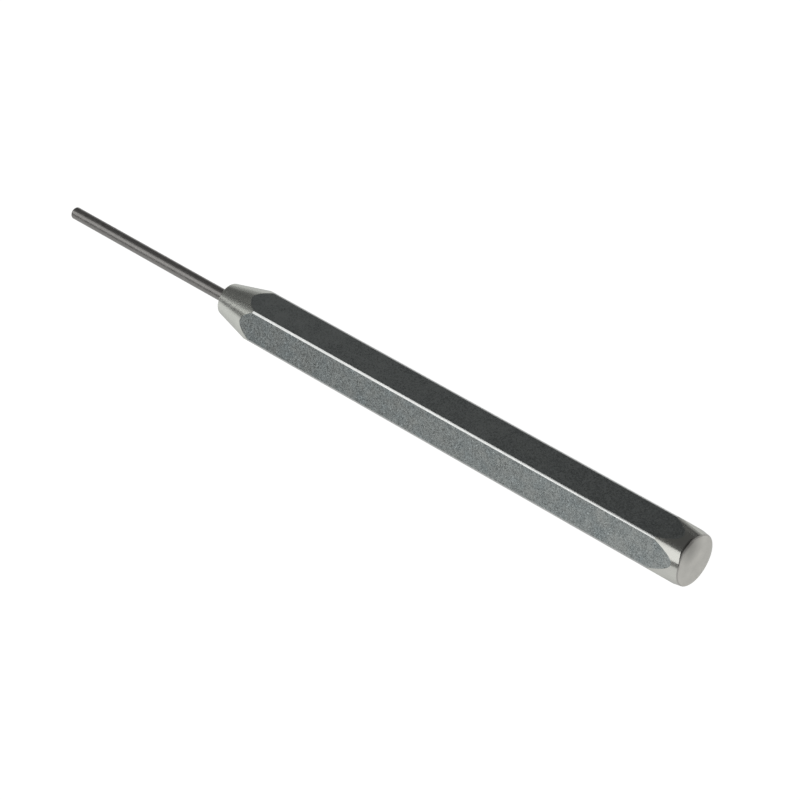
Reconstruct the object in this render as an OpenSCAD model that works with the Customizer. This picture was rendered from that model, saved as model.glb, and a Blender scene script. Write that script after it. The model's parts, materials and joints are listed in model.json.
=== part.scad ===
// Inserted pin punch: a hexagon bar body with a turned nose and head, and a round pin pressed into the nose.
// The punch lies on one of its flats along X, with the struck head at +X and the working tip at -X.
// The origin is under the middle of the punch, on the surface that it lies on.

/* [Hexagon bar] */
// Size across the flats
across_flats = 10; // [8:0.5:14]
// Length of the body, from the nose face to the struck face
body_len = 108; // [80:1:160]
// Height that the rounding takes off each sharp corner of the bar
corner_cut = 0.12; // [0.05:0.01:0.4]

/* [Nose] */
// Diameter of the nose face, measured to the line of the cone
nose_d = 6.3; // [5:0.1:8]
// Angle between the nose cone and the axis
nose_angle = 14; // [8:0.5:30]
// Radius round the front edge of the nose
nose_edge_r = 0.2; // [0.1:0.05:0.5]

/* [Struck head] */
// Diameter of the struck face, measured to the line of the taper
struck_d = 9.5; // [7:0.1:9.9]
// Angle between the head taper and the axis
head_angle = 9.5; // [5:0.5:25]
// Radius round the rim of the struck face
rim_r = 0.3; // [0.1:0.05:0.8]

/* [Pin] */
// Diameter of the ground working length
pin_d = 2.4; // [1.4:0.1:4]
// Amount that the working length is ground below the diameter of the shank
grind = 0.1; // [0.04:0.02:0.2]
// Length of pin that stands out of the nose face
pin_reach = 42; // [20:1:60]
// Length of the run-out from the working length to the shank, in front of the nose face
root_len = 1; // [0.6:0.1:2]
// Radius round the edge of the working tip
tip_r = 0.35; // [0.1:0.05:0.6]
// Lead chamfer at the end of the shank that goes into the body
pin_lead = 0.3; // [0.1:0.05:0.5]

/* [Bore] */
// Depth of the straight wall of the bore behind the nose face
bore_depth = 24; // [12:1:40]
// Chamfer round the mouth of the bore
mouth_chamfer = 0.2; // [0.1:0.05:0.5]
// Point angle of the drill that made the bore
drill_angle = 118; // [90:1:140]
// Room between the shank and the bore on the diameter, none in a press fit
pin_fit = 0; // [0:0.01:0.04]

/* [Hidden] */
$fn = 96;
// Straight steps that make up each rounded edge
edge_steps = 6;
// Room that a cutting shape needs past the face that it cuts
overrun = 1;
overall_len = body_len + pin_reach;
pin_r = pin_d / 2;
shank_r = (pin_d + grind) / 2;
bore_r = shank_r + pin_fit / 2;
// Distance from the axis to a sharp corner of the bar, and to the round that takes it off
sharp_r = across_flats / 2 / cos(30);
corner_r = sharp_r - corner_cut;
// Stations along the axis, from the working tip
nose_face = pin_reach;
nose_end = nose_face + (corner_r - nose_d / 2) / tan(nose_angle);
struck_face = overall_len;
head_start = struck_face - (corner_r - struck_d / 2) / tan(head_angle);
// The end of the shank rests on the drill point, where its chamfered edge meets that cone
point_slope = tan(drill_angle / 2);
pin_seat = nose_face + bore_depth + (bore_r - shank_r + pin_lead) / point_slope;

// Points of a rounded edge between a flat face at zero and a side that opens away from the axis by an angle.
// Each point is a radius and a distance behind the face, from the face to the side.
function rounded_edge(face_d, angle, edge_r) =
    let (centre = [face_d / 2 - edge_r * tan((90 - angle) / 2), edge_r])
    [
        for (i = [0:edge_steps])
            let (turn = -90 + (90 - angle) * i / edge_steps)
            centre + edge_r * [cos(turn), sin(turn)]
    ];

// Stands a shape made along Z, tip at zero, on its place along X with one flat down.
module lay_down() {
    translate([-overall_len / 2, 0, across_flats / 2])
        rotate([0, 90, 0])
            children();
}

// Hexagon bar over the whole length, with a flat towards each end of its own X axis.
module hexagon_bar() {
    rotate(30)
        cylinder(h = overall_len, r = sharp_r, $fn = 6);
}

// Round form that turns the cone of the nose, the corners of the bar and the taper of the head.
module turned_form() {
    nose_edge = rounded_edge(nose_d, nose_angle, nose_edge_r);
    rim = rounded_edge(struck_d, head_angle, rim_r);
    rotate_extrude()
        polygon([
            [0, nose_face],
            for (point = nose_edge) [point.x, nose_face + point.y],
            [corner_r, nose_end],
            [corner_r, head_start],
            for (i = [edge_steps:-1:0]) [rim[i].x, struck_face - rim[i].y],
            [0, struck_face]
        ]);
}

// Blind bore with a chamfered mouth and a drill point.
module pin_bore() {
    translate([0, 0, nose_face])
        rotate_extrude()
            polygon([
                [0, -overrun],
                [bore_r + mouth_chamfer + overrun, -overrun],
                [bore_r, mouth_chamfer],
                [bore_r, bore_depth],
                [0, bore_depth + bore_r / point_slope]
            ]);
}

// Body: where the turned form runs into the flats of the bar, it cuts them in curved scallops.
module hex_body() {
    color("silver")
        lay_down()
            difference() {
                intersection() {
                    hexagon_bar();
                    turned_form();
                }
                pin_bore();
            }
}

// Pin: a working length with a rounded tip, and a slightly thicker shank with a chamfer to start it in the bore.
module drive_pin() {
    color("dimgray")
        lay_down()
            rotate_extrude()
                polygon([
                    [0, 0],
                    for (point = rounded_edge(pin_d, 0, tip_r)) point,
                    [pin_r, nose_face - root_len],
                    [shank_r, nose_face],
                    [shank_r, pin_seat - pin_lead],
                    [shank_r - pin_lead, pin_seat],
                    [0, pin_seat]
                ]);
}

hex_body();
drive_pin();
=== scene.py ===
"""Looks of a pin punch: a zinc plated hexagon body with a ground steel pin in its nose, on white.

The pieces are modelled in millimetres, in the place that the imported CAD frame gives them, and are
brought to metres when they are finished. The punch lies along X on one of its flats, with the struck
head at +X.
"""

from __future__ import annotations

import json
import logging
import math
from contextlib import contextmanager
from dataclasses import dataclass, field, replace
from enum import Enum
from typing import Callable, Iterator

import bpy
from mathutils import Matrix, Vector


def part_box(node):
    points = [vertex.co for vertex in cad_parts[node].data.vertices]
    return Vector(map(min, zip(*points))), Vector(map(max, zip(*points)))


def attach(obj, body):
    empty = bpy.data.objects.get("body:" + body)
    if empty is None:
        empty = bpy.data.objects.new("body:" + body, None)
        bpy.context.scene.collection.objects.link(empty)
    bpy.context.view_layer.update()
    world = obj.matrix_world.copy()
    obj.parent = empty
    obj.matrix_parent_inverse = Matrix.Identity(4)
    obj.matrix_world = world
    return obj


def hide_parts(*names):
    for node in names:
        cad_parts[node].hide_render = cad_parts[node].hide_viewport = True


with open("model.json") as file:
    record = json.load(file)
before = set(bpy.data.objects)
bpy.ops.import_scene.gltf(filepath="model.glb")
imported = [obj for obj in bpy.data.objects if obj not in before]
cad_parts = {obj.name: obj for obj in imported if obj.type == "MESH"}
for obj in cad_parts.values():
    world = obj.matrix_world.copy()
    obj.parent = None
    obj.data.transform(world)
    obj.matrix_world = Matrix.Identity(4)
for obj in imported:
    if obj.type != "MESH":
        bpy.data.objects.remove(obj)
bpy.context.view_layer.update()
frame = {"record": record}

LOG = logging.getLogger("pin_punch")
ROOT_BODY = "root"
MM = 0.001

# Turned and drawn shapes
BAR_SIDES = 6
SIDE_ANGLE = 360 / BAR_SIDES
HALF_SIDE = SIDE_ANGLE / 2
MERGE_DISTANCE = 0.0005

# Patterns in the finishes
CLOUD_DETAIL = 4.0
CLOUD_ROUGHNESS = 0.55
RING_DETAIL = 1.0
RING_ROUGHNESS = 0.5
RING_DRIFT = 0.15
MIDDLE = 0.5
MIDDLE_GREY = (MIDDLE, MIDDLE, MIDDLE)
ORIGIN = (0.0, 0.0, 0.0)

# Places of the colour sockets on a Mix node, whose names aren't unique
MIX_FIRST = 6
MIX_SECOND = 7
MIX_RESULT = 2

Colour = tuple[float, float, float]
Point = tuple[float, float, float]
Socket = bpy.types.NodeSocket
Sockets = dict[str, bpy.types.NodeSocket]
ProfilePoint = tuple[float, float]


class Zone(Enum):
    """Surfaces of the hexagon body that look different, in the order of its material slots."""

    FLAT = 0
    CORNER = 1
    NOSE = 2
    HEAD = 3
    STRUCK = 4
    RIM = 5
    SIDE_CORNER = 6
    UPPER_FLAT = 7


class Cut(Enum):
    """Ways in which one solid shapes another."""

    KEEP_COMMON = "INTERSECT"
    TAKE_AWAY = "DIFFERENCE"


def select_only(piece: bpy.types.Object) -> None:
    """Makes one object the only selected one, and the active one.

    Args:
        piece: The object that the next operators act on.
    """
    bpy.ops.object.select_all(action="DESELECT")
    piece.select_set(True)
    bpy.context.view_layer.objects.active = piece


@contextmanager
def edit_mode(piece: bpy.types.Object) -> Iterator[None]:
    """Opens a mesh in edit mode for the length of a with block.

    Args:
        piece: The mesh object to edit.

    Yields:
        Nothing, while the mesh is open.
    """
    select_only(piece)
    bpy.ops.object.mode_set(mode="EDIT")
    try:
        yield
    finally:
        bpy.ops.object.mode_set(mode="OBJECT")


def select_edges(piece: bpy.types.Object, wanted: Callable[[Vector, Vector], bool]) -> None:
    """Selects the edges of a mesh whose two end points pass a test, and nothing else.

    Args:
        piece: The mesh object, in object mode.
        wanted: Test of the edge's end points.
    """
    mesh = piece.data
    with edit_mode(piece):
        bpy.ops.mesh.select_mode(type="EDGE")
        bpy.ops.mesh.select_all(action="DESELECT")
    for edge in mesh.edges:
        start, end = (mesh.vertices[i].co for i in edge.vertices)
        edge.select = wanted(start, end)


def shape_with(piece: bpy.types.Object, tool: bpy.types.Object, cut: Cut) -> None:
    """Shapes a solid with another one, which is used up.

    Args:
        piece: The solid that is shaped.
        tool: The solid that shapes it, removed afterwards.
        cut: What is kept of the piece.
    """
    select_only(piece)
    modifier = piece.modifiers.new(tool.name, "BOOLEAN")
    modifier.operation = cut.value
    modifier.solver = "EXACT"
    modifier.object = tool
    bpy.ops.object.modifier_apply(modifier=modifier.name)
    bpy.data.objects.remove(tool)


def turn(name: str, profile: list[ProfilePoint], axis_height: float, facets: int) -> bpy.types.Object:
    """Turns a profile about the axis of the punch, as on a lathe.

    Args:
        name: Name of the new object.
        profile: Points of the half section, each a place along the axis and a radius, from axis to axis.
        axis_height: Height of the axis above the floor.
        facets: Facets round the axis.

    Returns:
        The turned solid.
    """
    bpy.ops.object.select_all(action="DESELECT")
    bpy.ops.mesh.primitive_circle_add(vertices=3)
    solid = bpy.context.active_object
    solid.name = name
    points = [Vector((x, 0.0, axis_height + radius)) for x, radius in profile]
    with edit_mode(solid):
        bpy.ops.mesh.select_mode(type="VERT")
        bpy.ops.mesh.select_all(action="SELECT")
        bpy.ops.mesh.merge(type="CENTER")
        bpy.ops.transform.translate(value=points[0])
        for last, point in zip(points, points[1:]):
            bpy.ops.mesh.extrude_region_move(TRANSFORM_OT_translate={"value": point - last})
        bpy.ops.mesh.select_all(action="SELECT")
        middle = (0.0, 0.0, axis_height)
        bpy.ops.mesh.spin(steps=facets, angle=math.tau, center=middle, axis=(1.0, 0.0, 0.0))
        bpy.ops.mesh.select_all(action="SELECT")
        bpy.ops.mesh.remove_doubles(threshold=MERGE_DISTANCE)
        bpy.ops.mesh.normals_make_consistent(inside=False)
    return solid


def edge_round(
    centre: ProfilePoint, radius: float, start: float, end: float, steps: int
) -> list[ProfilePoint]:
    """Points of an arc that rounds an edge of a turned profile.

    Args:
        centre: Centre of the arc: its place along the axis and its distance from the axis.
        radius: Radius of the arc.
        start: Direction of the first point, in degrees from +X towards the outside.
        end: Direction of the last point.
        steps: Straight steps in the arc.

    Returns:
        The points from start to end.
    """
    turns = [math.radians(start + (end - start) * i / steps) for i in range(steps + 1)]
    return [(centre[0] + radius * math.cos(t), centre[1] + radius * math.sin(t)) for t in turns]


def finish_mesh(piece: bpy.types.Object, crease: float) -> None:
    """Smooths a finished mesh over its small facets only, and brings it from millimetres to metres.

    Args:
        piece: The mesh object.
        crease: Angle in degrees from which an edge stays sharp.
    """
    select_only(piece)
    bpy.ops.object.shade_smooth_by_angle(angle=math.radians(crease))
    normals = piece.modifiers.new("even flats", "WEIGHTED_NORMAL")
    normals.keep_sharp = True
    bpy.ops.object.modifier_apply(modifier=normals.name)
    piece.scale = (MM, MM, MM)
    bpy.ops.object.transform_apply(location=True, rotation=True, scale=True)


@dataclass(frozen=True)
class Sketch:
    """Adds and joins the nodes of one shader tree."""

    tree: bpy.types.NodeTree

    def add(self, kind: str, **inputs: object) -> bpy.types.Node:
        """Adds a node and sets or links its inputs.

        Args:
            kind: Type of the node.
            inputs: Value or source socket for each input, by its name with _ for a space.

        Returns:
            The new node.
        """
        return self.fill(self.tree.nodes.new(kind), inputs)

    def use(self, group: bpy.types.NodeTree, **inputs: object) -> bpy.types.Node:
        """Places a node group and sets or links its inputs.

        Args:
            group: The group.
            inputs: Value or source socket for each input, by its name with _ for a space.

        Returns:
            The group's node.
        """
        node = self.tree.nodes.new("ShaderNodeGroup")
        node.node_tree = group
        return self.fill(node, inputs)

    def fill(self, node: bpy.types.Node, inputs: dict[str, object]) -> bpy.types.Node:
        """Sets or links the inputs of a node.

        Args:
            node: The node.
            inputs: Value or source socket for each input, by its name with _ for a space.

        Returns:
            The same node.
        """
        for name, value in inputs.items():
            self.feed(node.inputs[name.replace("_", " ")], value)
        return node

    def feed(self, socket: Socket, value: object) -> None:
        """Gives an input its value, or the socket that it is linked from.

        Args:
            socket: The input.
            value: A plain value or an output socket.
        """
        if isinstance(value, bpy.types.NodeSocket):
            self.tree.links.new(value, socket)
        else:
            socket.default_value = value

    def operate(self, kind: str, operation: str, *terms: object) -> bpy.types.Node:
        """Adds a node that does one operation on its terms, in their order.

        Args:
            kind: Type of the node.
            operation: The operation.
            terms: Values or source sockets.

        Returns:
            The new node.
        """
        node = self.tree.nodes.new(kind)
        node.operation = operation
        for socket, term in zip(node.inputs, terms):
            self.feed(socket, term)
        return node

    def sum(self, operation: str, *terms: object) -> Socket:
        """Puts a sum of one, two or three numbers into the tree.

        Args:
            operation: The Math node's operation.
            terms: Its numbers or source sockets.

        Returns:
            The socket with the result.
        """
        return self.operate("ShaderNodeMath", operation, *terms).outputs[0]

    def vector(self, operation: str, *terms: object) -> Socket:
        """Puts a sum of vectors into the tree.

        Args:
            operation: The Vector Math node's operation.
            terms: Its vectors or source sockets.

        Returns:
            The socket with the resulting vector.
        """
        return self.operate("ShaderNodeVectorMath", operation, *terms).outputs[0]

    def scale(self, vector: Socket, factor: Socket) -> Socket:
        """Multiplies a vector or a colour by a number.

        Args:
            vector: The vector or colour.
            factor: The number.

        Returns:
            The socket with the result.
        """
        node = self.operate("ShaderNodeVectorMath", "SCALE", vector)
        self.feed(node.inputs["Scale"], factor)
        return node.outputs[0]

    def distance(self, place: Socket, target: Point) -> Socket:
        """Measures how far a place is from a fixed point.

        Args:
            place: The place.
            target: The point.

        Returns:
            The socket with the distance.
        """
        return self.operate("ShaderNodeVectorMath", "DISTANCE", place, target).outputs["Value"]

    def spread(self, value: Socket, low: float, high: float) -> Socket:
        """Spreads a value from 0 to 1 between two others.

        Args:
            value: The value.
            low: Result at 0.
            high: Result at 1.

        Returns:
            The socket with the result.
        """
        node = self.add("ShaderNodeMapRange", Value=value, To_Min=low, To_Max=high)
        return node.outputs["Result"]

    def blend(self, share: Socket, first: Colour, second: Colour) -> Socket:
        """Mixes two colours.

        Args:
            share: Share of the second colour.
            first: Colour at 0.
            second: Colour at 1.

        Returns:
            The socket with the colour.
        """
        node = self.tree.nodes.new("ShaderNodeMix")
        node.data_type = "RGBA"
        self.feed(node.inputs["Factor"], share)
        node.inputs[MIX_FIRST].default_value = (*first, 1.0)
        node.inputs[MIX_SECOND].default_value = (*second, 1.0)
        return node.outputs[MIX_RESULT]


def open_group(
    name: str, inputs: dict[str, str], outputs: dict[str, str]
) -> tuple[Sketch, Sockets, Sockets]:
    """Starts a shader node group.

    Args:
        name: Name of the group.
        inputs: Socket type of each input, by name.
        outputs: Socket type of each output, by name.

    Returns:
        The sketch of its tree, the sockets that its inputs come from, and those that its outputs go to.
    """
    tree = bpy.data.node_groups.new(name, "ShaderNodeTree")
    for label, kind in inputs.items():
        tree.interface.new_socket(label, in_out="INPUT", socket_type=kind)
    for label, kind in outputs.items():
        tree.interface.new_socket(label, in_out="OUTPUT", socket_type=kind)
    source = tree.nodes.new("NodeGroupInput")
    target = tree.nodes.new("NodeGroupOutput")
    return Sketch(tree), {k: source.outputs[k] for k in inputs}, {k: target.inputs[k] for k in outputs}


def make_crystal_group() -> bpy.types.NodeTree:
    """Makes the group for the crystals of the zinc: small grains that each lean their own way.

    Returns:
        The group, with a normal for each grain and its tone from 0 to 1.
    """
    sketch, given, wanted = open_group(
        "zinc_crystals",
        {"Place": "NodeSocketVector", "Grain": "NodeSocketFloat", "Lean": "NodeSocketFloat"},
        {"Normal": "NodeSocketVector", "Tone": "NodeSocketFloat"},
    )
    density = sketch.sum("DIVIDE", 1.0, given["Grain"])
    cells = sketch.add("ShaderNodeTexVoronoi", Vector=given["Place"], Scale=density)
    lean = sketch.vector("SUBTRACT", cells.outputs["Color"], MIDDLE_GREY)
    surface = sketch.add("ShaderNodeNewGeometry")
    tilted = sketch.vector("ADD", surface.outputs["Normal"], sketch.scale(lean, given["Lean"]))
    sketch.feed(wanted["Normal"], sketch.vector("NORMALIZE", tilted))
    tones = sketch.add("ShaderNodeSeparateColor", Color=cells.outputs["Color"])
    sketch.feed(wanted["Tone"], tones.outputs["Green"])
    return sketch.tree


def make_cloud_group() -> bpy.types.NodeTree:
    """Makes the group for slow changes over a surface, such as patches in the plating.

    Returns:
        The group, with a value from 0 to 1.
    """
    sketch, given, wanted = open_group(
        "plating_clouds",
        {"Place": "NodeSocketVector", "Patch": "NodeSocketFloat", "Contrast": "NodeSocketFloat"},
        {"Value": "NodeSocketFloat"},
    )
    density = sketch.sum("DIVIDE", 1.0, given["Patch"])
    noise = sketch.add(
        "ShaderNodeTexNoise",
        Vector=given["Place"],
        Scale=density,
        Detail=CLOUD_DETAIL,
        Roughness=CLOUD_ROUGHNESS,
    )
    centred = sketch.sum("SUBTRACT", noise.outputs["Fac"], MIDDLE)
    stretched = sketch.sum("MULTIPLY_ADD", centred, given["Contrast"], MIDDLE)
    clamp = sketch.add("ShaderNodeClamp", Value=stretched)
    sketch.feed(wanted["Value"], clamp.outputs[0])
    return sketch.tree


def make_lathe_group() -> bpy.types.NodeTree:
    """Makes the group for the fine rings that a turning or grinding tool leaves round the axis.

    Returns:
        The group, with the height of the rings from 0 to 1.
    """
    sketch, given, wanted = open_group(
        "lathe_rings",
        {"Place": "NodeSocketVector", "Axis Height": "NodeSocketFloat", "Pitch": "NodeSocketFloat"},
        {"Height": "NodeSocketFloat"},
    )
    parts = sketch.add("ShaderNodeSeparateXYZ", Vector=given["Place"])
    above = sketch.sum("SUBTRACT", parts.outputs["Z"], given["Axis Height"])
    aside = parts.outputs["Y"]
    square = sketch.sum("MULTIPLY", above, above)
    radius = sketch.sum("SQRT", sketch.sum("MULTIPLY_ADD", aside, aside, square))
    run = sketch.sum("DIVIDE", sketch.sum("ADD", parts.outputs["X"], radius), given["Pitch"])
    across = sketch.add("ShaderNodeCombineXYZ", X=run, Y=sketch.sum("MULTIPLY", above, RING_DRIFT))
    rings = sketch.add(
        "ShaderNodeTexNoise",
        Vector=across.outputs[0],
        Scale=1.0,
        Detail=RING_DETAIL,
        Roughness=RING_ROUGHNESS,
    )
    sketch.feed(wanted["Height"], rings.outputs["Fac"])
    return sketch.tree


@dataclass
class Groups:
    """The shader node groups that the finishes share."""

    crystals: bpy.types.NodeTree = field(default_factory=make_crystal_group)
    clouds: bpy.types.NodeTree = field(default_factory=make_cloud_group)
    rings: bpy.types.NodeTree = field(default_factory=make_lathe_group)


@dataclass(frozen=True)
class Finish:
    """What every metal finish has: a name, and a colour and a roughness that drift between two values."""

    name: str
    tone_a: Colour
    tone_b: Colour
    smooth: float
    rough: float
    patch: float
    contrast: float
    grazing: float

    def start(self, groups: Groups) -> tuple[Sketch, bpy.types.Node, Socket, Socket]:
        """Starts the material with its shader, its place in millimetres and its colour.

        Args:
            groups: The shared node groups.

        Returns:
            The sketch, the shader, the socket with the place and the socket with the colour.
        """
        material = bpy.data.materials.new(self.name)
        material.use_nodes = True
        sketch = Sketch(material.node_tree)
        shader = material.node_tree.nodes["Principled BSDF"]
        shader.inputs["Metallic"].default_value = 1.0
        shader.inputs["Specular Tint"].default_value = (self.grazing, self.grazing, self.grazing, 1.0)
        where = sketch.add("ShaderNodeTexCoord").outputs["Object"]
        place = sketch.add("ShaderNodeMapping", Vector=where, Scale=(1 / MM, 1 / MM, 1 / MM))
        spot = place.outputs[0]
        clouds = sketch.use(groups.clouds, Place=spot, Patch=self.patch, Contrast=self.contrast)
        value = clouds.outputs["Value"]
        colour = sketch.blend(value, self.tone_a, self.tone_b)
        sketch.feed(shader.inputs["Roughness"], sketch.spread(value, self.smooth, self.rough))
        return sketch, shader, spot, colour


@dataclass(frozen=True)
class CrystalZinc(Finish):
    """Zinc plate on the drawn bar: fine crystals in loose clusters, whose lean changes along it, with
    painted shade and light that change along it too.
    """

    grain: float
    cluster: float
    lean_nose: float
    lean_head: float
    speck: float
    painted_shade_at_nose: float
    painted_shade_at_head: float
    nose: float
    head: float
    sparse: float = 0.4
    dense: float = 1.5
    cluster_contrast: float = 2.4

    def material(self, groups: Groups) -> bpy.types.Material:
        """Makes the material.

        Args:
            groups: The shared node groups.

        Returns:
            The material.
        """
        sketch, shader, place, colour = self.start(groups)
        clusters = sketch.use(
            groups.clouds, Place=place, Patch=self.cluster, Contrast=self.cluster_contrast
        )
        share = sketch.spread(clusters.outputs["Value"], self.sparse, self.dense)
        lean = sketch.sum("MULTIPLY", self.along(sketch, place, self.lean_nose, self.lean_head), share)
        crystals = sketch.use(groups.crystals, Place=place, Grain=self.grain, Lean=lean)
        specks = sketch.spread(crystals.outputs["Tone"], 1 - self.speck, 1 + self.speck)
        # Painted shade and light: the colour is scaled evenly from its factor at the nose to that at the
        # head
        shade = sketch.sum("MULTIPLY", specks, self.along(sketch, place, self.painted_shade_at_nose, self.painted_shade_at_head))
        sketch.feed(shader.inputs["Base Color"], sketch.scale(colour, shade))
        sketch.feed(shader.inputs["Normal"], crystals.outputs["Normal"])
        return bpy.data.materials[self.name]

    def along(self, sketch: Sketch, place: Socket, at_nose: float, at_head: float) -> Socket:
        """Changes a value evenly along the bar.

        Args:
            sketch: The material's sketch.
            place: The socket with the place in millimetres.
            at_nose: Value at the nose.
            at_head: Value at the head.

        Returns:
            The socket with the value.
        """
        parts = sketch.add("ShaderNodeSeparateXYZ", Vector=place)
        node = sketch.add("ShaderNodeMapRange", Value=parts.outputs["X"], To_Min=at_nose, To_Max=at_head)
        sketch.feed(node.inputs["From Min"], self.nose)
        sketch.feed(node.inputs["From Max"], self.head)
        return node.outputs["Result"]


@dataclass(frozen=True)
class TurnedMetal(Finish):
    """Metal with the fine rings of a turning or grinding tool."""

    axis_height: float
    pitch: float
    depth: float

    def material(self, groups: Groups) -> bpy.types.Material:
        """Makes the material.

        Args:
            groups: The shared node groups.

        Returns:
            The material.
        """
        sketch, shader, place, colour = self.start(groups)
        sketch.feed(shader.inputs["Base Color"], self.add_painted_shade(sketch, place, colour))
        rings = sketch.use(groups.rings, Place=place, Axis_Height=self.axis_height, Pitch=self.pitch)
        bump = sketch.add("ShaderNodeBump", Height=rings.outputs["Height"], Distance=self.depth * MM)
        sketch.feed(shader.inputs["Normal"], bump.outputs["Normal"])
        return bpy.data.materials[self.name]

    def add_painted_shade(self, sketch: Sketch, place: Socket, colour: Socket) -> Socket:
        """Gives the colour with its painted shade, which a plain turned surface has none of."""
        return colour


@dataclass(frozen=True)
class StruckMetal(TurnedMetal):
    """Turned face with painted shade: darker towards the upper rim, most of all on the edge there."""

    painted_shade_centre: Point
    painted_shade_reach: Point
    painted_shade_darkest: float
    middle: Point
    painted_edge_shade_start: float
    painted_edge_shade_end: float
    painted_edge_shade_darkest: float

    def add_painted_shade(self, sketch: Sketch, place: Socket, colour: Socket) -> Socket:
        """Paints shade into the colour towards the upper rim, darkest on its edge.

        Args:
            sketch: The material's sketch.
            place: The socket with the place in millimetres.
            colour: The socket with the colour.

        Returns:
            The socket with the colour and its painted shade.
        """
        # Painted shade: darkest at the upper rim, fading over the reach, and darker still on the edge near
        # it
        apart = sketch.vector("DIVIDE", sketch.vector("SUBTRACT", place, self.painted_shade_centre), self.painted_shade_reach)
        painted_shade_share = sketch.spread(sketch.distance(apart, ORIGIN), 1.0, 0.0)
        edge = sketch.add(
            "ShaderNodeMapRange",
            Value=sketch.distance(place, self.middle),
            From_Min=self.painted_edge_shade_start,
            From_Max=self.painted_edge_shade_end,
        )
        painted_edge_share = sketch.sum("MULTIPLY", painted_shade_share, edge.outputs["Result"])
        shade = sketch.sum(
            "MULTIPLY",
            sketch.spread(painted_shade_share, 1.0, self.painted_shade_darkest),
            sketch.spread(painted_edge_share, 1.0, self.painted_edge_shade_darkest),
        )
        return sketch.scale(colour, shade)


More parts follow.
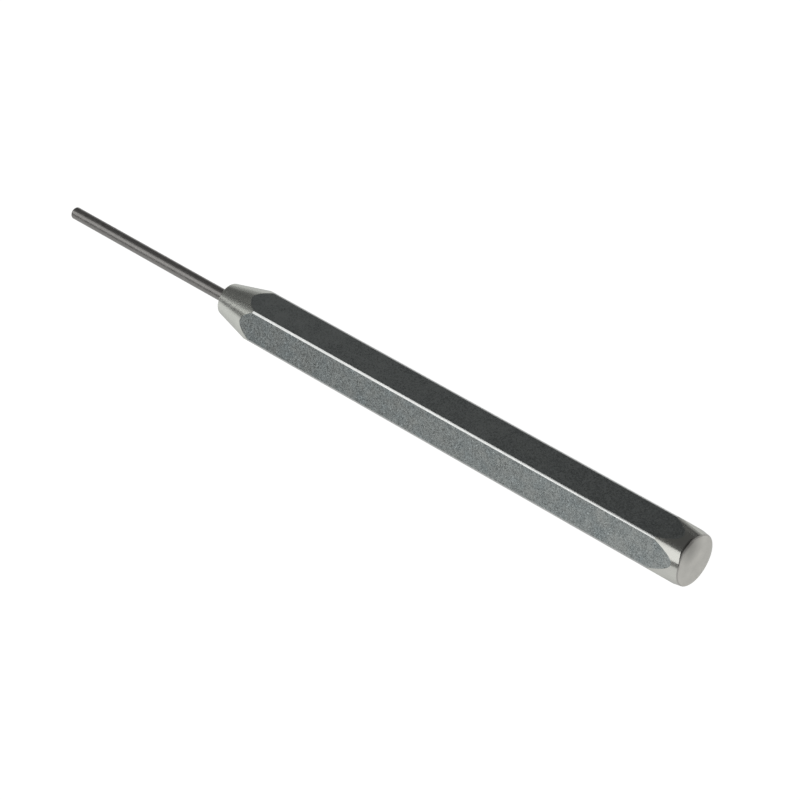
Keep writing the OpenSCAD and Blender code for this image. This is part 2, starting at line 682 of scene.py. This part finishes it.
@dataclass
class HexBody:
    """Hexagon bar with a turned nose and head and a blind bore for the pin. Lengths are millimetres."""

    nose_x: float
    head_x: float
    across_flats: float
    shank_r: float

    # Rounded corners of the bar, nose, head and bore
    corner_cut: float = 0.12
    corner_profile: float = 0.32
    nose_d: float = 6.3
    nose_angle: float = 14.0
    nose_edge_r: float = 0.2
    struck_d: float = 9.5
    head_angle: float = 9.5
    rim_r: float = 0.3
    bore_depth: float = 24.0
    mouth_chamfer: float = 0.2
    drill_angle: float = 118.0
    overrun: float = 1.0

    # Upper rim of the struck face, rolled by blows, and the middle of the painted shade on it, with angles
    # in degrees from straight up
    roll_depth: float = 0.2
    roll_reach: float = 1.6
    roll_middle: float = -12.0
    roll_spreads: tuple[float, ...] = (30.0, 22.0, 14.0)
    painted_shade_angle: float = -6.0

    # Fineness of the mesh
    facets: int = 240
    corner_steps: int = 16
    rim_steps: int = 14
    face_rings: int = 24

    # Angles in degrees that part the surfaces
    crease: float = 6.0
    flat_lean: float = 1.0
    face_lean: float = 25.0
    rim_lean: float = 18.0

    @property
    def axis_height(self) -> float:
        """Height of the axis above the floor."""
        return self.across_flats / 2

    @property
    def sharp_r(self) -> float:
        """Distance from the axis to the sharp corner that the bar would have."""
        return self.across_flats / 2 / math.cos(math.radians(HALF_SIDE))

    def rounded_bar(self) -> bpy.types.Object:
        """Makes the hexagon bar with its long corners rounded.

        Returns:
            The bar, longer than the body at both ends.
        """
        bpy.ops.object.select_all(action="DESELECT")
        bpy.ops.mesh.primitive_cylinder_add(
            vertices=BAR_SIDES,
            radius=self.sharp_r,
            depth=self.head_x - self.nose_x + 2 * self.overrun,
            location=((self.nose_x + self.head_x) / 2, 0.0, self.axis_height),
            rotation=(0.0, math.radians(90), 0.0),
        )
        bar = bpy.context.active_object
        bpy.ops.object.transform_apply(location=True, rotation=True, scale=True)
        select_edges(bar, lambda start, end: abs(start.x - end.x) > self.across_flats)
        with edit_mode(bar):
            bpy.ops.mesh.bevel(
                offset_type="OFFSET",
                offset=self.corner_cut / (1 - math.sqrt(self.corner_profile)),
                segments=self.corner_steps,
                profile=self.corner_profile,
                affect="EDGES",
            )
        return bar

    def turned_ends(self) -> bpy.types.Object:
        """Turns the form that cuts the cone of the nose and the taper of the head.

        Returns:
            The turned solid.
        """
        clear_r = self.sharp_r + self.overrun
        nose_slope = math.tan(math.radians(self.nose_angle))
        head_slope = math.tan(math.radians(self.head_angle))
        nose_in = self.nose_edge_r * math.tan(math.radians(45 - self.nose_angle / 2))
        rim_in = self.rim_r * math.tan(math.radians(45 - self.head_angle / 2))
        nose_centre = (self.nose_x + self.nose_edge_r, self.nose_d / 2 - nose_in)
        rim_centre = (self.head_x - self.rim_r, self.struck_d / 2 - rim_in)
        profile = [(self.nose_x, 0.0)]
        profile += edge_round(nose_centre, self.nose_edge_r, 180.0, 90.0 + self.nose_angle, self.rim_steps)
        profile += [
            (self.nose_x + (clear_r - self.nose_d / 2) / nose_slope, clear_r),
            (self.head_x - (clear_r - self.struck_d / 2) / head_slope, clear_r),
        ]
        profile += edge_round(rim_centre, self.rim_r, 90.0 - self.head_angle, 0.0, self.rim_steps)
        rings = range(self.face_rings - 1, -1, -1)
        profile += [(self.head_x, rim_centre[1] * i / self.face_rings) for i in rings]
        ends = turn("turned_ends", profile, self.axis_height, self.facets)
        self.roll_rim(ends)
        return ends

    @staticmethod
    def angle_from_up(point: Vector) -> float:
        """Angle of a point or normal round the axis, in degrees from straight up, towards +Y."""
        return math.degrees(math.atan2(point.y, point.z))

    def rim_angles(self, ends: bpy.types.Object) -> dict[int, float]:
        """Finds the vertices on the rim of the struck face.

        Args:
            ends: The turned form, in millimetres.

        Returns:
            The angle of each such vertex from the middle of the rolled part, by its index.
        """
        axis = Vector((0.0, 0.0, self.axis_height))
        angles = {}
        for vertex in ends.data.vertices:
            spot = vertex.co - axis
            off_axis = math.hypot(spot.y, spot.z)
            if spot.x > self.head_x - self.rim_r and off_axis > self.struck_d / 2:
                angles[vertex.index] = abs(self.angle_from_up(spot) - self.roll_middle)
        return angles

    def roll_rim(self, ends: bpy.types.Object) -> None:
        """Pushes the upper rim of the struck face back in a few passes, as hammer blows roll it.

        Args:
            ends: The turned form, in millimetres.
        """
        angles = self.rim_angles(ends)
        for spread in self.roll_spreads:
            with edit_mode(ends):
                bpy.ops.mesh.select_mode(type="VERT")
                bpy.ops.mesh.select_all(action="DESELECT")
            for index, angle in angles.items():
                ends.data.vertices[index].select = angle < spread
            with edit_mode(ends):
                bpy.ops.transform.translate(
                    value=(-self.roll_depth, 0.0, 0.0),
                    use_proportional_edit=True,
                    proportional_edit_falloff="SHARP",
                    proportional_size=self.roll_reach,
                )

    def bore(self) -> bpy.types.Object:
        """Turns the form of the blind bore.

        Returns:
            The turned solid.
        """
        point = self.shank_r / math.tan(math.radians(self.drill_angle / 2))
        profile = [
            (self.nose_x - self.overrun, 0.0),
            (self.nose_x - self.overrun, self.shank_r + self.mouth_chamfer + self.overrun),
            (self.nose_x + self.mouth_chamfer, self.shank_r),
            (self.nose_x + self.bore_depth, self.shank_r),
            (self.nose_x + self.bore_depth + point, 0.0),
        ]
        return turn("bore", profile, self.axis_height, self.facets // 2)

    def build(self) -> bpy.types.Object:
        """Models the body.

        Returns:
            The body, in metres.
        """
        body = self.rounded_bar()
        body.name = "punch_body"
        shape_with(body, self.turned_ends(), Cut.KEEP_COMMON)
        shape_with(body, self.bore(), Cut.TAKE_AWAY)
        self.mark_zones(body)
        finish_mesh(body, self.crease)
        return body

    def zone_of(self, face: bpy.types.MeshPolygon) -> Zone:
        """Says which surface of the body a face belongs to.

        Args:
            face: A face of the body, in millimetres.

        Returns:
            Its zone.
        """
        off_axis = math.hypot(face.center.y, face.center.z - self.axis_height)
        drawn = abs(face.normal.x) < math.sin(math.radians(self.head_angle / 2))
        if drawn and off_axis > self.nose_d / 2:
            lean = (self.angle_from_up(face.normal) + HALF_SIDE) % SIDE_ANGLE - HALF_SIDE
            # Upper corners get the bright corner finish, partly painted highlight; lower corners get its
            # darker copy, which is painted shade
            upper = face.center.z > self.axis_height + self.across_flats / 4
            if abs(lean) > self.flat_lean:
                return Zone.CORNER if upper else Zone.SIDE_CORNER
            level = face.normal.z > math.cos(math.radians(HALF_SIDE))
            return Zone.UPPER_FLAT if level else Zone.FLAT
        if face.center.x < (self.nose_x + self.head_x) / 2:
            return Zone.NOSE
        if face.normal.x > math.cos(math.radians(self.face_lean)):
            return Zone.STRUCK
        return Zone.RIM if face.normal.x > math.sin(math.radians(self.rim_lean)) else Zone.HEAD

    def mark_zones(self, body: bpy.types.Object) -> None:
        """Gives each face the material slot of its zone.

        Args:
            body: The body, in millimetres.
        """
        for face in body.data.polygons:
            face.material_index = self.zone_of(face).value

    def drawn_finishes(self) -> dict[Zone, CrystalZinc]:
        """Gives the finishes of the drawn bar.

        Returns:
            The finishes of the flats and corners, by zone.
        """
        # With patch and cluster alike, the darker tone lies where the crystals are dense
        flat = CrystalZinc(
            name="crystal_zinc",
            tone_a=(0.286, 0.301, 0.291),
            tone_b=(0.211, 0.239, 0.243),
            smooth=0.27,
            rough=0.35,
            patch=3.0,
            contrast=2.2,
            grazing=0.85,
            grain=0.22,
            cluster=3.0,
            lean_nose=0.42,
            lean_head=0.31,
            speck=0.25,
            # Painted shade towards the nose, a little painted light at the head
            painted_shade_at_nose=0.77,
            painted_shade_at_head=1.08,
            nose=self.nose_x,
            head=self.head_x,
        )
        upper_flat = replace(
            flat,
            name="handled_zinc",
            tone_a=(0.264, 0.28, 0.275),
            tone_b=(0.246, 0.264, 0.261),
            lean_nose=0.32,
            lean_head=0.22,
            speck=0.1,
            # Painted shade towards the head
            painted_shade_at_nose=1.01,
            painted_shade_at_head=0.9,
        )
        # Upper corners: rubbed plating, with a brighter colour that is partly painted highlight
        corner = replace(
            flat,
            name="rubbed_zinc_with_painted_highlight",
            tone_a=(0.512, 0.524, 0.514),
            tone_b=(0.635, 0.64, 0.628),
            smooth=0.2,
            rough=0.27,
            lean_nose=0.012,
            lean_head=0.02,
            speck=0.08,
            # Painted shade towards the nose
            painted_shade_at_nose=0.78,
            painted_shade_at_head=1.0,
        )
        # Side corners: a darker copy of the upper corners' finish, which is painted shade
        side_corner = replace(
            corner,
            name="side_corner_painted_shade",
            tone_a=(0.33, 0.338, 0.332),
            tone_b=(0.4, 0.404, 0.397),
            painted_shade_at_nose=1.0,
        )
        return {
            Zone.FLAT: flat,
            Zone.UPPER_FLAT: upper_flat,
            Zone.CORNER: corner,
            Zone.SIDE_CORNER: side_corner,
        }

    def turned_finishes(self) -> dict[Zone, TurnedMetal]:
        """Gives the finishes of the turned ends.

        Returns:
            The finishes of the nose, head, struck face and rim, by zone.
        """
        nose = TurnedMetal(
            name="turned_zinc",
            tone_a=(0.507, 0.521, 0.484),
            tone_b=(0.573, 0.583, 0.543),
            smooth=0.22,
            rough=0.28,
            patch=3.0,
            contrast=1.6,
            grazing=0.64,
            axis_height=self.axis_height,
            pitch=0.3,
            depth=0.0003,
        )
        head = replace(
            nose,
            name="bright_turned_zinc",
            tone_a=(0.432, 0.434, 0.408),
            tone_b=(0.478, 0.48, 0.448),
            smooth=0.16,
            rough=0.22,
            depth=0.0006,
        )
        painted_shade_turn = math.radians(self.painted_shade_angle)
        struck = StruckMetal(
            name="faced_zinc",
            tone_a=(0.405, 0.4, 0.374),
            tone_b=(0.492, 0.484, 0.453),
            smooth=0.42,
            rough=0.5,
            patch=2.4,
            contrast=2.4,
            grazing=0.8,
            axis_height=self.axis_height,
            pitch=0.2,
            depth=0.001,
            # Painted shade on the struck face, centred on its upper rim
            painted_shade_centre=(
                self.head_x,
                self.struck_d / 2 * math.sin(painted_shade_turn),
                self.axis_height + self.struck_d / 2 * math.cos(painted_shade_turn),
            ),
            painted_shade_reach=(3.3, 3.3, 4.6),
            painted_shade_darkest=0.5,
            middle=(self.head_x, 0.0, self.axis_height),
            painted_edge_shade_start=4.0,
            painted_edge_shade_end=self.struck_d / 2,
            painted_edge_shade_darkest=0.5,
        )
        # The rim: a darker copy of the face's finish, with the same painted shade
        rim = replace(
            struck,
            name="dark_rim_with_painted_shade",
            tone_a=(0.288, 0.282, 0.267),
            tone_b=(0.345, 0.337, 0.319),
            smooth=0.28,
            rough=0.36,
        )
        return {Zone.NOSE: nose, Zone.HEAD: head, Zone.STRUCK: struck, Zone.RIM: rim}

    def dress(self, body: bpy.types.Object, groups: Groups) -> None:
        """Gives the body its finishes.

        Args:
            body: The finished mesh.
            groups: The shared node groups.
        """
        finishes = {**self.drawn_finishes(), **self.turned_finishes()}
        for zone in Zone:
            body.data.materials.append(finishes[zone].material(groups))


@dataclass
class DrivePin:
    """Hardened pin: a ground working length, and a shank in the body. Lengths are millimetres."""

    tip_x: float
    nose_x: float
    seat_x: float
    axis_height: float
    pin_r: float
    shank_r: float
    root_len: float = 1.0
    tip_r: float = 0.35
    lead: float = 0.3
    facets: int = 120
    tip_steps: int = 16
    crease: float = 20.0

    def build(self) -> bpy.types.Object:
        """Models the pin.

        Returns:
            The pin, in metres.
        """
        profile = [(self.tip_x, 0.0)]
        tip_centre = (self.tip_x + self.tip_r, self.pin_r - self.tip_r)
        profile += edge_round(tip_centre, self.tip_r, 180.0, 90.0, self.tip_steps)
        profile += [
            (self.nose_x - self.root_len, self.pin_r),
            (self.nose_x, self.shank_r),
            (self.seat_x - self.lead, self.shank_r),
            (self.seat_x, self.shank_r - self.lead),
            (self.seat_x, 0.0),
        ]
        pin = turn("working_pin", profile, self.axis_height, self.facets)
        finish_mesh(pin, self.crease)
        return pin

    def dress(self, pin: bpy.types.Object, groups: Groups) -> None:
        """Gives the pin its finish.

        Args:
            pin: The finished mesh.
            groups: The shared node groups.
        """
        ground = TurnedMetal(
            name="ground_steel",
            tone_a=(0.172, 0.167, 0.161),
            tone_b=(0.222, 0.216, 0.208),
            smooth=0.32,
            rough=0.4,
            patch=1.2,
            contrast=2.2,
            grazing=0.9,
            axis_height=self.axis_height,
            pitch=0.2,
            depth=0.001,
        )
        pin.data.materials.append(ground.material(groups))


def direction(azimuth: float, elevation: float) -> Vector:
    """Direction from the object, with azimuth 0 at -Y and 90 at +X.

    Args:
        azimuth: Angle round Z in degrees.
        elevation: Angle above the floor in degrees.

    Returns:
        The unit vector.
    """
    a, e = math.radians(azimuth), math.radians(elevation)
    return Vector((math.sin(a) * math.cos(e), -math.cos(a) * math.cos(e), math.sin(e)))


@dataclass
class ProductCamera:
    """Long lens that looks down along the punch from beside its head. Lengths are millimetres."""

    lens: float = 125.64
    azimuth: float = 50.837
    elevation: float = 46.899
    roll: float = -12.478
    distance: float = 491.4
    aim: Point = (10.3, -0.88, 5.0)

    def build(self) -> None:
        """Makes the camera and gives it to the scene."""
        data = bpy.data.cameras.new("product_camera")
        data.lens = self.lens
        camera = bpy.data.objects.new("product_camera", data)
        bpy.context.scene.collection.objects.link(camera)
        back = direction(self.azimuth, self.elevation)
        place = Matrix.Translation((Vector(self.aim) + back * self.distance) * MM)
        turned = back.to_track_quat("Z", "Y").to_matrix().to_4x4()
        camera.matrix_world = place @ turned @ Matrix.Rotation(math.radians(self.roll), 4, "Z")
        bpy.context.scene.camera = camera


@dataclass(frozen=True)
class SoftBox:
    """Flat studio light, aimed at the object. Lengths are metres."""

    name: str
    azimuth: float
    elevation: float
    distance: float
    width: float
    height: float
    brightness: float

    def build(self) -> None:
        """Makes the light."""
        data = bpy.data.lights.new(self.name, "AREA")
        data.shape = "RECTANGLE"
        data.size = self.width
        data.size_y = self.height
        data.energy = self.brightness * math.pi * self.width * self.height
        lamp = bpy.data.objects.new(self.name, data)
        bpy.context.scene.collection.objects.link(lamp)
        towards = direction(self.azimuth, self.elevation)
        turned = towards.to_track_quat("Z", "Y").to_matrix().to_4x4()
        lamp.matrix_world = Matrix.Translation(towards * self.distance) @ turned


@dataclass
class Studio:
    """White floor, soft boxes and a dim room. Lengths are metres."""

    floor_radius: float = 4.0
    floor_sides: int = 64
    floor_gap: float = 0.00002
    floor_matt: float = 0.25
    floor_glow: float = 0.93
    room: float = 0.12
    # Name, azimuth, elevation, distance, width, height and brightness of each box
    boxes: tuple[SoftBox, ...] = (
        SoftBox("key_box", -52.0, 36.0, 0.55, 0.35, 0.4, 1.65),
        SoftBox("front_box", -8.0, 41.0, 1.0, 0.5, 0.8, 1.5),
        SoftBox("low_card", -17.0, 8.0, 1.0, 0.37, 0.22, 1.0),
        SoftBox("top_card", -114.0, 45.0, 1.2, 0.85, 0.64, 0.16),
        SoftBox("back_card", -143.0, 7.0, 1.2, 1.44, 0.32, 0.36),
        SoftBox("side_box", 88.0, 22.0, 1.2, 1.36, 0.9, 0.8),
        SoftBox("far_box", 148.0, 22.0, 1.2, 1.5, 0.9, 0.8),
    )

    def build(self) -> None:
        """Makes the floor, the lights and the room."""
        self.make_floor()
        for box in self.boxes:
            box.build()
        self.make_room()

    def make_floor(self) -> None:
        """Makes the white floor."""
        bpy.ops.object.select_all(action="DESELECT")
        bpy.ops.mesh.primitive_circle_add(
            vertices=self.floor_sides,
            radius=self.floor_radius,
            fill_type="NGON",
            location=(0.0, 0.0, -self.floor_gap),
        )
        floor = bpy.context.active_object
        floor.name = "floor"
        floor.data.materials.append(self.floor_material())

    def floor_material(self) -> bpy.types.Material:
        """Makes the white of the floor, which looks a little lighter to the camera and in reflections.

        Returns:
            The material.
        """
        material = bpy.data.materials.new("white_floor")
        material.use_nodes = True
        tree = material.node_tree
        tree.nodes.remove(tree.nodes["Principled BSDF"])
        sketch = Sketch(tree)
        matt = sketch.add("ShaderNodeBsdfDiffuse", Color=(self.floor_matt,) * 3 + (1.0,))
        ray = sketch.add("ShaderNodeLightPath")
        seen = sketch.sum("MAXIMUM", ray.outputs["Is Camera Ray"], ray.outputs["Is Glossy Ray"])
        seen = sketch.sum("MAXIMUM", seen, ray.outputs["Is Transmission Ray"])
        glow = sketch.add("ShaderNodeEmission", Strength=sketch.sum("MULTIPLY", seen, self.floor_glow))
        both = sketch.add("ShaderNodeAddShader")
        sketch.feed(both.inputs[0], matt.outputs[0])
        sketch.feed(both.inputs[1], glow.outputs[0])
        sketch.feed(tree.nodes["Material Output"].inputs["Surface"], both.outputs[0])
        return material

    def make_room(self) -> None:
        """Gives the scene a dim, even room."""
        world = bpy.data.worlds.new("studio_room")
        world.use_nodes = True
        background = world.node_tree.nodes["Background"]
        background.inputs["Color"].default_value = (self.room, self.room, self.room, 1.0)
        bpy.context.scene.world = world


def seat(piece: bpy.types.Object, node: str) -> None:
    """Lets a piece stand for its CAD node.

    Args:
        piece: The finished piece.
        node: The CAD node that it replaces.
    """
    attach(piece, ROOT_BODY)
    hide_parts(node)
    LOG.info("%s: %d faces, for %s", piece.name, len(piece.data.polygons), node)


def main() -> None:
    """Builds the camera, the studio and the punch."""
    logging.basicConfig(level=logging.INFO, format="%(name)s: %(message)s")
    bpy.context.scene.view_settings.view_transform = "Standard"
    ProductCamera().build()
    Studio().build()
    body_low, body_high = (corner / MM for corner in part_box("hex_body"))
    pin_low, pin_high = (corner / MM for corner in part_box("drive_pin"))
    mounts = {mount["name"]: mount for mount in frame["record"]["mounts"]}
    shank_r = (pin_high.y - pin_low.y) / 2
    body = HexBody(
        nose_x=body_low.x, head_x=body_high.x, across_flats=body_high.z - body_low.z, shank_r=shank_r
    )
    pin = DrivePin(
        tip_x=pin_low.x,
        nose_x=body_low.x,
        seat_x=pin_high.x,
        axis_height=body.axis_height,
        pin_r=mounts["working_pin"]["dims"]["r_mm"],
        shank_r=shank_r,
    )
    groups = Groups()
    parts = (
        (body, "hex_body", "zinc_plated_steel"),
        (pin, "drive_pin", "ground_pin_steel"),
    )
    for part, node, slot in parts:
        piece = part.build()
        part.dress(piece, groups)
        seat(piece, node)


if __name__ == "__main__":
    main()
